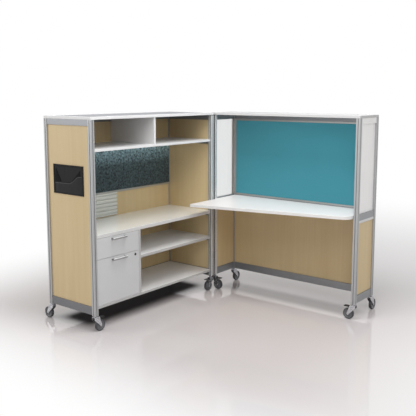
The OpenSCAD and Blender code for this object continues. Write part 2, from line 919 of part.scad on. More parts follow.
// Side plate of a fork, tapering from its top to the axle
module fork_side() {
    rotate([90, 0, 0]) linear_extrude(fork_wall, center = true) difference() {
        union() {
            polygon([
                [-fork_back, fork_top_z],
                [-fork_back, fork_top_z - fork_heel_h],
                [trail - fork_boss_r, wheel_r],
                [trail + fork_boss_r, wheel_r],
                [fork_front, fork_top_z]
            ]);
            translate([trail, wheel_r]) circle(r = fork_boss_r);
        }
        translate([trail, wheel_r]) circle(d = axle_d + 2 * running);
        translate([pedal_pin_x, pedal_z]) circle(d = pedal_pin_d + 2 * running);
    }
}

// Fork with its stem, and the axle riveted through it
module fork() {
    for (side = [-1, 1])
        translate([0, side * (fork_gap + fork_wall) / 2, 0]) fork_side();
    block([-fork_back, -fork_w / 2, fork_top_z - fork_wall],
          [fork_front, fork_w / 2, fork_top_z]);
    translate([0, 0, fork_top_z - overrun])
        cylinder(h = socket_rim_t - small_gap + overrun, d = stem_boss_d);
    cylinder_from(fork_top_z - overrun, foot_z + stem_l, stem_d);
    translate([trail, 0, wheel_r]) rotate([90, 0, 0]) {
        cylinder(h = fork_w, d = axle_d, center = true);
        for (side = [-1, 1])
            translate([0, 0, side * (fork_w + axle_head_t) / 2])
                cylinder(h = axle_head_t, d = axle_head_d, center = true);
    }
}

module cylinder_from(z0, z1, diameter) {
    translate([0, 0, z0]) cylinder(h = z1 - z0, d = diameter);
}

// Wheel with a rounded tread, a dished core and a hub
module wheel() {
    half = wheel_w / 2;
    translate([trail, 0, wheel_r]) rotate([90, 0, 0]) rotate_extrude() {
        difference() {
            translate([axle_d / 2 + 2 * running, -half])
                square([wheel_r - axle_d / 2 - 2 * running - tread_round, wheel_w]);
            for (side = [-1, 1])
                translate([(hub_r + dish_r) / 2, side * half])
                    square([dish_r - hub_r, 2 * dish_depth], center = true);
        }
        translate([wheel_r - tread_round - overrun, -half + tread_round])
            square([tread_round + overrun, wheel_w - 2 * tread_round]);
        for (side = [-1, 1])
            translate([wheel_r - tread_round, side * (half - tread_round)])
                circle(r = tread_round);
    }
}

// Brake pedal between the fork's sides: arm, toe pad, shoe and pivot pin
module pedal() {
    translate([pedal_pin_x, 0, pedal_z]) rotate([90, 0, 0]) {
        cylinder(h = pedal_arm_w, r = pedal_boss_r, center = true);
        cylinder(h = fork_w, d = pedal_pin_d, center = true);
    }
    block([pedal_pin_x, -pedal_arm_w / 2, pedal_under],
          [pedal_pad_x + overrun, pedal_arm_w / 2, pedal_under + pedal_t]);
    block([shoe_x0, -pedal_arm_w / 2, shoe_z],
          [shoe_x1, pedal_arm_w / 2, pedal_under + overrun]);
    block([pedal_pad_x, -pedal_pad_w / 2, pedal_under + pedal_t - pedal_pad_t],
          [pedal_end_x, pedal_pad_w / 2, pedal_under + pedal_t]);
}

// A unit's casters: the front ones lie along the front, the rear ones point back
module front_left() {
    translate([post_s / 2, post_s / 2, 0]) children();
}

module front_right() {
    translate([unit_w - post_s / 2, post_s / 2, 0]) rotate([0, 0, 180]) children();
}

module rear_left(depth) {
    translate([post_s / 2, depth - post_s / 2, 0]) rotate([0, 0, 90]) children();
}

module rear_right(depth) {
    translate([unit_w - post_s / 2, depth - post_s / 2, 0]) rotate([0, 0, 90]) children();
}

module fork_finish() {
    color("silver") fork();
}

module wheel_finish() {
    color("dimgray") wheel();
}

module pedal_finish() {
    color("black") pedal();
}

storage_posts();
storage_rails();
storage_top_frame();
storage_top_panel();
storage_end_panels();
storage_back_panel();
storage_deck();
storage_worktop();
overhead_shelf();
overhead_divider();
middle_shelf();
pedestal_sides();
storage_tackboard();
tackboard_strip();
slatwall();
document_pocket();
shelf_supports();
drawer_runners();
hinge_pin();
storage_caster_sockets();
box_drawer_front();
box_drawer_tray();
box_drawer_handle();
file_drawer_front();
file_drawer_tray();
file_drawer_handle();
lock_barrel();
lock_plug();
hinge_arms();
hinge_arm_bolt();
desk_posts();
desk_rails();
desk_unit_top();
desk_lower_panels();
desk_side_screens();
desk_tackboard();
desk_tackboard_frame();
desk_surface();
desk_brackets();
desk_caster_sockets();
in_storage() front_left() fork_finish();  // storage_front_left_fork
in_storage() front_right() fork_finish();  // storage_front_right_fork
in_storage() rear_left(storage_d) fork_finish();  // storage_rear_left_fork
in_storage() rear_right(storage_d) fork_finish();  // storage_rear_right_fork
in_desk() front_left() fork_finish();  // desk_front_left_fork
in_desk() front_right() fork_finish();  // desk_front_right_fork
in_desk() rear_left(desk_unit_d) fork_finish();  // desk_rear_left_fork
in_desk() rear_right(desk_unit_d) fork_finish();  // desk_rear_right_fork
in_storage() front_left() wheel_finish();  // storage_front_left_wheel
in_storage() front_right() wheel_finish();  // storage_front_right_wheel
in_storage() rear_left(storage_d) wheel_finish();  // storage_rear_left_wheel
in_storage() rear_right(storage_d) wheel_finish();  // storage_rear_right_wheel
in_desk() front_left() wheel_finish();  // desk_front_left_wheel
in_desk() front_right() wheel_finish();  // desk_front_right_wheel
in_desk() rear_left(desk_unit_d) wheel_finish();  // desk_rear_left_wheel
in_desk() rear_right(desk_unit_d) wheel_finish();  // desk_rear_right_wheel
in_storage() front_left() pedal_finish();  // storage_front_left_pedal
in_storage() front_right() pedal_finish();  // storage_front_right_pedal
in_desk() front_left() pedal_finish();  // desk_front_left_pedal
in_desk() front_right() pedal_finish();  // desk_front_right_pedal
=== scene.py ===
# %% [markdown]
# # A folding workstation on casters
# Two framed cabinets stand at a right angle and are hinged at one corner. The left one holds
# drawers and shelves, the right one carries a slanting desk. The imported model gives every
# piece its size and place, so this lesson starts from it and adds rounded edges, detailed
# pieces and finishes. Nothing here moves a piece: each new mesh is made where the model says.

import json
import math

import bmesh
import bpy
from mathutils import Matrix, Vector

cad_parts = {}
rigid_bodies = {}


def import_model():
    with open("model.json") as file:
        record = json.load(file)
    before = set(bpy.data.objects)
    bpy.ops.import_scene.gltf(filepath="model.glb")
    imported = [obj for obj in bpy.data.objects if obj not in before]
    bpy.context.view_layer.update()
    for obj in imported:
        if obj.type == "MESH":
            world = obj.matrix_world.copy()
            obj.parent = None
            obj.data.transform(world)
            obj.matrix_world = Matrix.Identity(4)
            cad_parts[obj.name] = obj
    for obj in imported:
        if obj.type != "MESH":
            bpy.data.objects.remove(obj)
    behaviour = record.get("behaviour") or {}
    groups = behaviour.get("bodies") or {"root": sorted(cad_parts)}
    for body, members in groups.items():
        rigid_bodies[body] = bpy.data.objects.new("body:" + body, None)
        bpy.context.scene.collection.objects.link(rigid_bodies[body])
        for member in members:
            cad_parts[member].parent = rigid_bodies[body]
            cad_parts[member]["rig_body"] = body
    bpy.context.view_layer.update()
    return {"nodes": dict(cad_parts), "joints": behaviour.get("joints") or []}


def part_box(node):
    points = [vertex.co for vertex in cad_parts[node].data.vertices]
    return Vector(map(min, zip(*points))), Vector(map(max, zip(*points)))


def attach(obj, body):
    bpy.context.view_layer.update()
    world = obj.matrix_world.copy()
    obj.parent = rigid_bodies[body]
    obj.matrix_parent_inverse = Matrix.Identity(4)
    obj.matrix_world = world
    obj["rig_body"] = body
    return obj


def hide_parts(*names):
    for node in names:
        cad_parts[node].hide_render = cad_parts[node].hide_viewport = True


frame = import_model()

# %% [markdown]
# ## Where the two units stand
# The hinge axis is the place that both units share, and the fold joint says where it is.
# Each unit then has a frame of its own: X runs to the right along its front, Y to its back.
# World numbers would do as well, but a matrix for each unit keeps them short and plain.
# All lengths in this lesson are in metres.

# %% The units' own frames
joints = {joint["name"]: joint for joint in frame["joints"]}
hinge = Vector((*joints["fold"]["pos_m"][:2], 0))
unit_width = 1.274
half_post = 0.015
unit_gap = 0.017
desk_frame = Matrix.Translation(hinge + Vector((-half_post, half_post + unit_gap, 0)))
storage_frame = (Matrix.Translation(hinge + Vector((half_post, half_post - unit_width, 0)))
                 @ Matrix.Rotation(math.radians(90), 4, "Z"))
print("hinge axis at", [round(value, 4) for value in hinge[:2]])

# %% [markdown]
# ## The camera
# The photograph was taken from a little above head height with a slightly long lens, tilted
# down a few degrees. The numbers come from the lines of the posts, rails and desk in it. The
# frame was cropped afterwards, which a camera reproduces with a shift of its picture and not
# by turning. The place is measured from the hinge axis.

# %% Camera
lens_mm, film_mm = 57.376, 36
camera_shift = (-0.00736, -0.05937)
camera_from_hinge = Vector((3.2460, -4.1152, 1.5891))
camera_tilt, camera_turn = 7.805, 38.247  # degrees
camera_data = bpy.data.cameras.new("photo_camera")
camera_data.lens = lens_mm
camera_data.sensor_width = film_mm
camera_data.shift_x, camera_data.shift_y = camera_shift
camera = bpy.data.objects.new("photo_camera", camera_data)
camera.location = hinge + camera_from_hinge
camera.rotation_euler = (math.radians(90 - camera_tilt), 0, math.radians(camera_turn))
bpy.context.scene.collection.objects.link(camera)
bpy.context.scene.camera = camera
print("camera at", [round(value, 3) for value in camera.location])

# %% [markdown]
# ## Colours and shaders
# A finish could be an image wrapped round a piece, but an image has one size and shows its
# seams. Here each finish is a Principled shader with patterns on the piece's own
# coordinates, which fit any piece and move with it. A value that is the same all over a
# surface is typed on the shader itself.

# %% Colours and shaders
def linear(red, green, blue):
    """A colour picked on a screen, as the shader's linear values."""
    def channel(value):
        share = value / 255
        return share / 12.92 if share <= 0.04045 else ((share + 0.055) / 1.055) ** 2.4
    return channel(red), channel(green), channel(blue)


def shade(color, share):
    return tuple(value * share for value in color)


def new_finish(name, color, roughness, metallic=0.0):
    material = bpy.data.materials.new(name)
    material.use_nodes = True
    shader = material.node_tree.nodes["Principled BSDF"]
    shader.inputs["Base Color"].default_value = (*color, 1)
    shader.inputs["Roughness"].default_value = roughness
    shader.inputs["Metallic"].default_value = metallic
    return material, shader


print("a screen grey of 128 is", round(linear(128, 128, 128)[0], 3), "on the shader")

# %% [markdown]
# ## Helpers for nodes
# Most finishes share a few steps: a place on the piece, a noise stretched along it, a colour
# or a roughness taken from the noise, and a small relief. Each step gets a helper, so that a
# finish reads as a few lines. They only ask for a node tree, so they serve the world too.

# %% Nodes and places
def add_node(material, kind, **values):
    node = material.node_tree.nodes.new(kind)
    for key, value in values.items():
        setattr(node, key, value)
    return node


def connect(material, source, target):
    material.node_tree.links.new(source, target)


def own_place(material):
    """The coordinates of the piece itself, in metres."""
    return add_node(material, "ShaderNodeTexCoord").outputs["Object"]


def components(material, vector):
    """The outputs X, Y and Z of a vector."""
    split = add_node(material, "ShaderNodeSeparateXYZ")
    connect(material, vector, split.inputs["Vector"])
    return split.outputs


print("helpers for places ready")

# %% Numbers from numbers
def map_range(material, value, low, high, out_low=0.0, out_high=1.0, curve="LINEAR"):
    """Moves a value from one range to another."""
    node = add_node(material, "ShaderNodeMapRange", interpolation_type=curve)
    node.inputs["From Min"].default_value = low
    node.inputs["From Max"].default_value = high
    node.inputs["To Min"].default_value = out_low
    node.inputs["To Max"].default_value = out_high
    connect(material, value, node.inputs["Value"])
    return node.outputs["Result"]


def combine(material, operation, first, second):
    """A Math node on two values."""
    node = add_node(material, "ShaderNodeMath", operation=operation)
    connect(material, first, node.inputs[0])
    connect(material, second, node.inputs[1])
    return node.outputs["Value"]


print("helpers for numbers ready")

# %% Noise and colours
def noise(material, stretch=(1, 1, 1), scale=1.0, detail=3.0, roughness=0.5, distortion=0.0):
    """Noise on the piece's own coordinates; stretch gives the cycles a metre along X, Y, Z."""
    mapping = add_node(material, "ShaderNodeMapping")
    mapping.inputs["Scale"].default_value = stretch
    texture = add_node(material, "ShaderNodeTexNoise")
    texture.inputs["Scale"].default_value = scale
    texture.inputs["Detail"].default_value = detail
    texture.inputs["Roughness"].default_value = roughness
    texture.inputs["Distortion"].default_value = distortion
    connect(material, own_place(material), mapping.inputs["Vector"])
    connect(material, mapping.outputs["Vector"], texture.inputs["Vector"])
    return texture.outputs["Fac"]


def ramp(material, factor, stops):
    """Colours along a factor, from a list of (place, colour)."""
    node = add_node(material, "ShaderNodeValToRGB")
    points = node.color_ramp.elements
    while len(points) < len(stops):
        points.new(0.5)
    for point, (place, color) in zip(points, stops):
        point.position = place
        point.color = (*color, 1)
    connect(material, factor, node.inputs["Fac"])
    return node.outputs["Color"]


# A Mix node holds sockets for numbers, vectors and colours under the same names, so the
# colour ones are taken by their place in the list.
mix_factor, mix_first, mix_second, mix_result = 0, 6, 7, 2


def blend_colors(material, factor, first, second, mode="MIX"):
    node = add_node(material, "ShaderNodeMix", data_type="RGBA", blend_type=mode)
    node.inputs[mix_factor].default_value = factor
    connect(material, first, node.inputs[mix_first])
    connect(material, second, node.inputs[mix_second])
    return node.outputs[mix_result]


print("helpers for patterns ready")

# %% Colour, roughness and relief
def vary_color(material, shader, factor, low, high):
    """The shader's colour, from two stops of (place, colour) along a factor."""
    connect(material, ramp(material, factor, [low, high]), shader.inputs["Base Color"])


def vary_roughness(material, shader, factor, low, high):
    result = map_range(material, factor, 0.0, 1.0, low, high)
    connect(material, result, shader.inputs["Roughness"])


def relief(material, shader, factor, distance, strength):
    """Small bumps; distance is their height in metres."""
    node = add_node(material, "ShaderNodeBump")
    node.inputs["Distance"].default_value = distance
    node.inputs["Strength"].default_value = strength
    connect(material, factor, node.inputs["Height"])
    connect(material, node.outputs["Normal"], shader.inputs["Normal"])


print("helpers for surfaces ready")

# %% [markdown]
# ## Drawn aluminium and steel
# The posts are pulled through a die, so their faint lines run up and down, and those of the
# rails run level. Anisotropy could stand for the lines, but a fine noise stretched along them
# also changes the colour and the relief a little, as real metal does. The names tell which
# piece a metal is for, and the table of colours follows the photograph.

# %% Drawn metals
def drawn_metal(name, color, roughness, lines, metallic=1.0):
    """Metal with fine lines; lines gives the cycles a metre along X, Y, Z."""
    material, shader = new_finish(name, color, roughness, metallic)
    fine = noise(material, lines, detail=2.0)
    vary_color(material, shader, fine, (0.3, shade(color, 0.9)), (0.7, color))
    vary_roughness(material, shader, fine, roughness - 0.06, roughness + 0.06)
    relief(material, shader, fine, distance=0.00004, strength=0.4)
    return material


up_lines = (900, 900, 12)
level_lines = (12, 12, 900)
handle_lines = (14, 14, 700)
pin_lines = (700, 700, 30)
post_metal = drawn_metal("post_aluminium", linear(182, 183, 184), 0.34, up_lines, 0.45)
# Copies of the post aluminium with painted light: a lighter one as a painted highlight on the
# hinge posts' fronts, a darker one as painted shade in the gap.
post_highlight_metal = drawn_metal("post_painted_highlight_aluminium", linear(240, 240, 241), 0.36, up_lines, 0.25)
gap_shade_metal = drawn_metal("gap_painted_shade_aluminium", linear(64, 61, 59), 0.5, up_lines, 0.2)
rail_metal = drawn_metal("rail_aluminium", linear(150, 152, 155), 0.38, level_lines, 0.6)
# A darker copy of the rail metal: painted shade on the low rails.
low_rail_shade_metal = drawn_metal("low_rail_painted_shade_aluminium", linear(122, 123, 126), 0.4, level_lines, 0.5)
channel_metal = drawn_metal("channel_aluminium", linear(205, 206, 206), 0.35, level_lines, 0.6)
# A white copy of the rail metal: a painted highlight on one top rail.
painted_highlight_rail = drawn_metal("painted_highlight_rail", linear(250, 250, 249), 0.4, level_lines, 0.0)
strip_metal = drawn_metal("strip_aluminium", linear(188, 188, 186), 0.35, level_lines, 0.7)
slat_metal = drawn_metal("slatwall_aluminium", linear(226, 228, 222), 0.4, level_lines, 0.1)
handle_metal = drawn_metal("handle_steel", linear(158, 158, 158), 0.38, handle_lines, 0.2)
# A paler copy of the handle steel: a painted highlight on the bar's top.
bar_highlight_metal = drawn_metal("handle_top_painted_highlight_steel", linear(240, 240, 240), 0.4, handle_lines, 0.1)
leg_metal = drawn_metal("handle_leg_steel", linear(140, 140, 141), 0.32, up_lines, 0.7)
runner_metal = drawn_metal("runner_steel", linear(150, 151, 153), 0.36, level_lines, 0.9)
pin_metal = drawn_metal("pin_steel", linear(150, 150, 152), 0.28, pin_lines)
print("drawn metals made")

# %% [markdown]
# ## Zinc and painted steel
# The casters have a bright zinc coat with soft blotches, where the crystals grew. Brackets,
# trays and hinge arms are painted steel, which is mottled in the same way but duller. So one
# even noise without a direction serves them all, with a finer one for the relief.

# %% Mottled metals
def mottled_metal(name, color, roughness, metallic):
    material, shader = new_finish(name, color, roughness, metallic)
    blotch = noise(material, scale=140, detail=4)
    vary_color(material, shader, blotch, (0.35, shade(color, 0.82)), (0.65, color))
    vary_roughness(material, shader, blotch, roughness - 0.08, roughness + 0.08)
    crystals = noise(material, scale=900)
    relief(material, shader, crystals, distance=0.00003, strength=0.3)
    return material


zinc = mottled_metal("zinc_plate", linear(205, 206, 210), 0.26, 0.95)
bracket_metal = mottled_metal("bracket_paint", linear(120, 121, 124), 0.45, 0.2)
tray_metal = mottled_metal("tray_paint", linear(150, 150, 152), 0.42, 0.1)
hinge_metal = mottled_metal("hinge_paint", linear(62, 62, 66), 0.4, 0.6)
lock_metal = mottled_metal("lock_black", linear(26, 26, 28), 0.3, 0.5)
plug_metal = mottled_metal("lock_plug_steel", linear(96, 96, 98), 0.3, 0.9)
print("mottled metals made")

# %% [markdown]
# ## Maple veneer
# Maple is a pale wood with a quiet figure: broad soft bands, fine short pores and a slight
# change of tone across the panel. An image of maple would repeat on panels this large, so
# three noises stretched along the grain make these, and the finest one also gives the
# surface its relief.

# %% Wood finish
def veneer(name, light, dark, pore):
    material, shader = new_finish(name, light, roughness=0.38)
    broad = noise(material, (9, 9, 0.7), detail=2, distortion=0.6)
    bands = noise(material, (70, 70, 1.6), detail=3, distortion=0.3)
    pores = noise(material, (1400, 1400, 60), detail=2)
    base = ramp(material, broad, [(0.25, dark), (0.55, light), (0.8, shade(light, 1.03))])
    lines = ramp(material, bands, [(0.35, dark), (0.6, light)])
    mixed = blend_colors(material, 0.3, base, lines)
    marks = ramp(material, pores, [(0.28, pore), (0.42, (1, 1, 1))])
    colored = blend_colors(material, 0.15, mixed, marks, "MULTIPLY")
    connect(material, colored, shader.inputs["Base Color"])
    vary_roughness(material, shader, bands, low=0.34, high=0.46)
    relief(material, shader, pores, distance=0.00005, strength=0.35)
    return material


maple = veneer("maple_veneer", linear(214, 192, 149), linear(206, 182, 137), (0.78, 0.68, 0.55))
print("maple made")

# %% [markdown]
# ## Laminates and painted boards
# The worktop has a glossy white laminate and the desk a more matt one, both slightly wavy
# like orange peel, with a grey band round the edge. The shelves, dividers and drawer fronts
# have a satin face. A faint cloud of a darker tone keeps large white faces from looking
# computed, and a thin clear coat gives the gloss that a rough white alone doesn't have.

# %% Board finishes
def board(name, color, roughness, coat, ripple, gloss=0.5):
    """A coated board; ripple is the height of its waves, gloss its level of reflection."""
    material, shader = new_finish(name, color, roughness)
    shader.inputs["Specular IOR Level"].default_value = gloss
    shader.inputs["Coat Weight"].default_value = coat
    shader.inputs["Coat Roughness"].default_value = 0.06
    cloud = noise(material, (3, 3, 3), detail=3)
    vary_color(material, shader, cloud, (0.3, shade(color, 0.965)), (0.7, color))
    vary_roughness(material, shader, cloud, roughness - 0.02, roughness + 0.04)
    peel = noise(material, (260, 260, 260), detail=1)
    relief(material, shader, peel, distance=ripple, strength=0.25)
    return material


gloss_white = board("gloss_laminate", linear(250, 250, 246), 0.14, 0.5, 0.00006)
desk_white = board("desk_laminate", linear(253, 249, 247), 0.36, 0.1, 0.00005)
satin_white = board("satin_laminate", linear(231, 231, 231), 0.34, 0.15, 0.00005)
drawer_white = board("drawer_laminate", linear(206, 207, 208), 0.3, 0.2, 0.00005)
grey_board = board("grey_laminate", linear(140, 141, 146), 0.5, 0.0, 0.00005)
edge_band = board("edge_band", linear(236, 235, 233), 0.35, 0.1, 0.00003)
grey_edge = board("grey_edge_band", linear(188, 188, 187), 0.4, 0.0, 0.00003, gloss=0.3)
worktop_edge = board("worktop_edge_band", linear(214, 214, 213), 0.4, 0.0, 0.00003, gloss=0.3)
cap_board = board("cap_board", linear(206, 206, 206), 0.6, 0.0, 0.00005, gloss=0.1)
print("boards made")

# %% [markdown]
# ## Fabrics
# The tall board behind the storage unit is a dark felt-like cloth with lighter flecks. The
# board behind the desk is a fine teal weave. Modelled threads would take millions of faces,
# so two waves at right angles make them in the shader, and a noise breaks their evenness.
# Both cloths look lighter towards their tops, so a last ramp over the height paints that
# light and shade into their colour.

# %% Fabric finishes
waves_per_scale = 3.18  # waves a metre in a wave texture of scale 1


def threads(material, axis, per_metre):
    wave = add_node(material, "ShaderNodeTexWave", bands_direction=axis)
    wave.inputs["Scale"].default_value = per_metre / waves_per_scale
    wave.inputs["Distortion"].default_value = 0.6
    wave.inputs["Detail"].default_value = 1.0
    connect(material, own_place(material), wave.inputs["Vector"])
    return wave.outputs["Fac"]


def woven(name, light, dark, axes, per_metre, fleck_scale, fleck_range, heights, shares):
    """Cloth with flecks; shares lists its painted light and shade, a brightness from the lower
    height to the upper.
    """
    material, shader = new_finish(name, light, roughness=0.85)
    warp, weft = [threads(material, axis, per_metre) for axis in axes]
    cross = combine(material, "MULTIPLY", warp, weft)
    fleck = noise(material, scale=fleck_scale, detail=5, roughness=0.65)
    base = ramp(material, fleck, list(zip(fleck_range, (dark, light))))
    weave = ramp(material, cross, [(0.0, (0.8, 0.8, 0.8)), (0.6, (1, 1, 1))])
    colored = blend_colors(material, 0.6, base, weave, "MULTIPLY")
    # Painted light and shade: the cloth darker low down and lighter towards its top.
    height = components(material, own_place(material))["Z"]
    height_share = map_range(material, height, *heights)
    painted_light_by_height = ramp(material, height_share, [(at, (share,) * 3) for at, share in shares])
    colored = blend_colors(material, 1.0, colored, painted_light_by_height, "MULTIPLY")
    connect(material, colored, shader.inputs["Base Color"])
    relief(material, shader, cross, distance=0.0003, strength=0.5)
    shader.inputs["Sheen Weight"].default_value = 0.15
    shader.inputs["Sheen Roughness"].default_value = 0.5
    return material


dark_cloth = woven("flecked_cloth", linear(118, 146, 154), linear(34, 46, 52), ("Y", "Z"), 900,
                   fleck_scale=70, fleck_range=(0.36, 0.7),
                   heights=(0.92, 1.15), shares=[(0.0, 0.5), (0.5, 0.7), (1.0, 3.4)])
teal_cloth = woven("teal_cloth", linear(77, 164, 181), linear(66, 150, 167), ("X", "Z"), 1000,
                   fleck_scale=400, fleck_range=(0.3, 0.7),
                   heights=(0.75, 1.35), shares=[(0.0, 0.93), (0.6, 1.05), (1.0, 1.3)])
print("fabrics made")

# %% [markdown]
# ## The side screens
# The screens above the desk are cloudy white sheets with fine upright streaks. In the
# photograph the left one is seen from inside against the light and glows, and the right one
# is seen from outside and looks solid. Transmission on a rough white shader gives the glow,
# so the two sheets share one recipe and differ in how clear they are.

# %% Screen finishes
def screen_sheet(name, clear):
    material, shader = new_finish(name, linear(254, 254, 253), roughness=0.3)
    streaks = noise(material, (420, 420, 5), detail=3)
    vary_color(material, shader, streaks, (0.32, linear(243, 243, 242)),
               (0.62, linear(255, 255, 254)))
    vary_roughness(material, shader, streaks, low=0.22, high=0.42)
    relief(material, shader, streaks, distance=0.0002, strength=0.3)
    shader.inputs["Transmission Weight"].default_value = clear
    shader.inputs["IOR"].default_value = 1.45
    return material


lit_screen = screen_sheet("screen_seen_against_light", 1.0)
far_screen = screen_sheet("screen_seen_from_outside", 0.0)
print("screens made")

# %% [markdown]
# ## Plastics, rubber and coated cloth
# The wheels are smoky and slightly clear, their treads softer and darker. The brake pedals
# are black with a soft shine, and the pocket is a black coated cloth with hardly any. All of
# them show a fine speck when seen close, so one recipe takes its size and its height.

# %% Plastic finishes
def plastic(name, color, roughness, grain, depth, clear=0.0, gloss=0.5):
    """A speckled finish; grain gives the specks a metre, depth the height of their relief."""
    material, shader = new_finish(name, color, roughness)
    speck = noise(material, scale=grain, detail=3)
    vary_color(material, shader, speck, (0.3, shade(color, 0.85)), (0.7, color))
    vary_roughness(material, shader, speck, roughness - 0.04, roughness + 0.06)
    relief(material, shader, speck, distance=depth, strength=0.4)
    shader.inputs["Transmission Weight"].default_value = clear
    shader.inputs["Specular IOR Level"].default_value = gloss
    return material


core_plastic = plastic("smoky_core", linear(116, 117, 121), 0.22, 300, 0.00003, clear=0.2)
tread_rubber = plastic("tread_rubber", linear(66, 67, 70), 0.45, 700, 0.00008)
boss_plastic = plastic("hub_plastic", linear(52, 52, 55), 0.35, 500, 0.00004)
pedal_plastic = plastic("pedal_plastic", linear(14, 14, 15), 0.34, 600, 0.00004)
pocket_cloth = plastic("pocket_cloth", linear(36, 36, 37), 0.6, 450, 0.0003, gloss=0.2)
pocket_back_cloth = plastic("pocket_back_cloth", linear(24, 24, 25), 0.62, 450, 0.0002,
                            gloss=0.2)
# The gusset cloth is near black for painted shade in the folds; the lip cloth is paler for a
# painted highlight.
gusset_shade_cloth = plastic("gusset_shade_cloth", linear(2, 2, 2), 0.8, 700, 0.0001, gloss=0.2)
lip_highlight_cloth = plastic("pocket_lip", linear(58, 58, 59), 0.55, 700, 0.0001)
binding_cloth = plastic("binding_cloth", linear(12, 12, 14), 0.6, 900, 0.0002, gloss=0.2)
print(len(bpy.data.materials), "materials in all")

# %% [markdown]
# ## Rounded edges
# No real edge is perfectly sharp, and a rounded one catches a line of light. A Bevel modifier
# could round the model's pieces, but their meshes are loose triangles. So each piece starts
# as a copy whose triangles are merged and whose flat faces are joined, and a bmesh operator
# rounds every outer edge by the radius that such an edge really has.

# %% Copies with rounded edges
weld_distance = 0.000002  # points of the model that are closer than this are one point
flat_angle = math.radians(0.5)  # faces that meet at less than this are one flat face


def clean_copy(node):
    """A copy of the model's mesh with whole faces instead of loose triangles."""
    mesh = bmesh.new()
    mesh.from_mesh(frame["nodes"][node].data)
    bmesh.ops.remove_doubles(mesh, verts=mesh.verts, dist=weld_distance)
    bmesh.ops.dissolve_limit(mesh, angle_limit=flat_angle, verts=mesh.verts, edges=mesh.edges)
    return mesh


def ease_edges(mesh, radius, segments=2, sharper_than=math.radians(30)):
    """Rounds the edges that point outwards and turn by more than an angle."""
    edges = [edge for edge in mesh.edges
             if edge.is_manifold and edge.is_convex and edge.calc_face_angle() > sharper_than]
    bmesh.ops.bevel(mesh, geom=edges, offset=radius, offset_type="OFFSET", segments=segments,
                    profile=0.5, affect="EDGES", clamp_overlap=True, material=-1)


print("helpers for edges ready")

# %% [markdown]
# ## From a mesh to a piece
# A finished mesh becomes an object at the origin that rides on one body of the model, so
# that it moves with its joint, and takes the place of the model's own piece. Weighted normals
# keep the broad faces flat beside their rounded edges. A piece with several finishes lists
# them all, and a small function chooses one for each face.

# %% Adding pieces
def body_of(node):
    return frame["nodes"][node]["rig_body"]


def add_piece(mesh, name, finishes, body, replaced=(), sharp=35):
    """Links a finished mesh as a piece on a body; edges over sharp degrees stay crisp."""
    data = bpy.data.meshes.new(name)
    for face in mesh.faces:
        face.smooth = True
    mesh.to_mesh(data)
    mesh.free()
    data.set_sharp_from_angle(angle=math.radians(sharp))
    for material in finishes:
        data.materials.append(material)
    piece = bpy.data.objects.new(name, data)
    bpy.context.scene.collection.objects.link(piece)
    normals = piece.modifiers.new("even_faces", "WEIGHTED_NORMAL")
    normals.keep_sharp = True
    if replaced:
        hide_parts(*replaced)
    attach(piece, body)


def dress(node, radius, finishes, choose=None, segments=2):
    """The model's piece with rounded edges; choose(face) gives the number of its finish."""
    copy = clean_copy(node)
    ease_edges(copy, radius, segments)
    if choose:
        for face in copy.faces:
            face.material_index = choose(face)
    add_piece(copy, node + "_piece", finishes, body_of(node), [node])


print("helpers for pieces ready")

# %% [markdown]
# ## Pieces with one finish
# Boards, panels, brackets and trays already have their true shape, so nothing is modelled
# anew. The table gives each its finish and the radius of its edges: a fraction of a
# millimetre on metal, about one on a banded board and two on a board wrapped in cloth.

# %% Pieces with one finish
plain_pieces = {
    "storage_top_frame": (satin_white, 0.001), "storage_top_panel": (grey_board, 0.0005),
    "desk_unit_top": (cap_board, 0.001),
    "storage_end_panels": (maple, 0.0005), "storage_back_panel": (maple, 0.0005),
    "desk_lower_panels": (maple, 0.0005),
    "overhead_shelf": (satin_white, 0.001), "overhead_divider": (satin_white, 0.001),
    "storage_tackboard": (dark_cloth, 0.002), "tackboard_strip": (strip_metal, 0.0006),
    "slatwall": (slat_metal, 0.0008), "desk_tackboard": (teal_cloth, 0.002),
    "desk_tackboard_frame": (strip_metal, 0.0008),
    "shelf_supports": (bracket_metal, 0.0005), "desk_brackets": (bracket_metal, 0.0006),
    "drawer_runners": (runner_metal, 0.0004),
    "box_drawer_front": (drawer_white, 0.0012), "file_drawer_front": (drawer_white, 0.0012),
    "box_drawer_tray": (tray_metal, 0.0004), "file_drawer_tray": (tray_metal, 0.0004),
    "hinge_arms": (hinge_metal, 0.0004), "hinge_arm_bolt": (pin_metal, 0.0004),
    "hinge_pin": (pin_metal, 0.0004),
    "storage_caster_sockets": (zinc, 0.0004), "desk_caster_sockets": (zinc, 0.0004),
    "lock_barrel": (lock_metal, 0.0005), "lock_plug": (plug_metal, 0.0003),
}
for node, (finish, radius) in plain_pieces.items():
    dress(node, radius, [finish])
print(len(plain_pieces), "pieces with one finish")

# %% [markdown]
# ## The posts
# The posts are plain drawn aluminium, apart from the two at the hinge. There the fronts catch
# the light, and the narrow gap between the two posts stays dark. Light alone could show this
# only with the photographer's own lamps, so these few faces have a lighter and a darker
# finish. A face counts when its centre is within a millimetre of its post.

# %% Posts
facing = 0.7  # share of a normal along a direction, above which the face looks that way
post_reach = half_post + 0.001


def hinge_post_finish(post_y, gap_side):
    """Chooses the finishes of the post that stands post_y behind the hinge axis."""
    def choose(face):
        away = face.calc_center_median() - hinge
        if abs(away.x) > post_reach or abs(away.y - post_y) > post_reach:
            return 0
        if face.normal.x > facing:
            return 1
        return 2 if face.normal.y * gap_side > facing else 0
    return choose


# The second finish is a painted highlight on the fronts, the third painted shade in the gap
# between the posts.
post_finishes = [post_metal, post_highlight_metal, gap_shade_metal]
desk_post_y = 2 * half_post + unit_gap
dress("storage_posts", 0.0006, post_finishes, hinge_post_finish(0.0, gap_side=1))
dress("desk_posts", 0.0006, post_finishes, hinge_post_finish(desk_post_y, gap_side=-1))
print("posts made, the desk unit's hinge post", round(desk_post_y, 3), "behind the axis")

